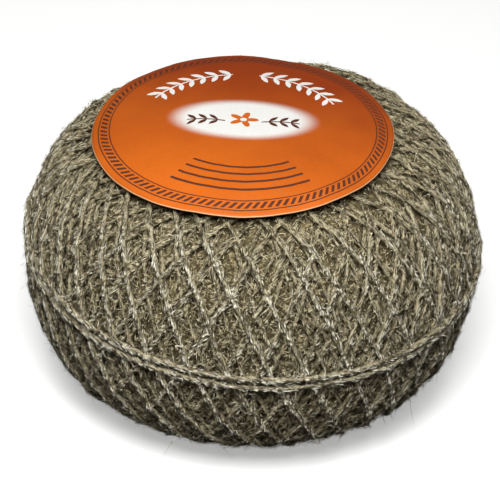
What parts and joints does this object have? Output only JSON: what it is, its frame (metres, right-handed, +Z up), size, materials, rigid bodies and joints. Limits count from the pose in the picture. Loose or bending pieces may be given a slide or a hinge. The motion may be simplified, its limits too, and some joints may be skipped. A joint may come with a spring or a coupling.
{
  "type": "ball of twine",
  "caption": "Cross-wound ball of thin flax twine, its last turns round the belly, with a plain round paper label lying on its upper end.",
  "frame": {"origin": "on the floor, under the centre of the bounding box", "axes": "+Z up along the winding's axis, from the flat spot to the label; -Y towards the side where the belly turns run low"},
  "size_m": [0.1055, 0.1048, 0.069],
  "materials": {
    "twine": "matt, hairy natural flax",
    "label_paper": "smooth printed paper, slightly glossy"
  },
  "bodies": {
    "root": {"ball": "twine", "label": "label_paper"}
  },
  "joints": []
}
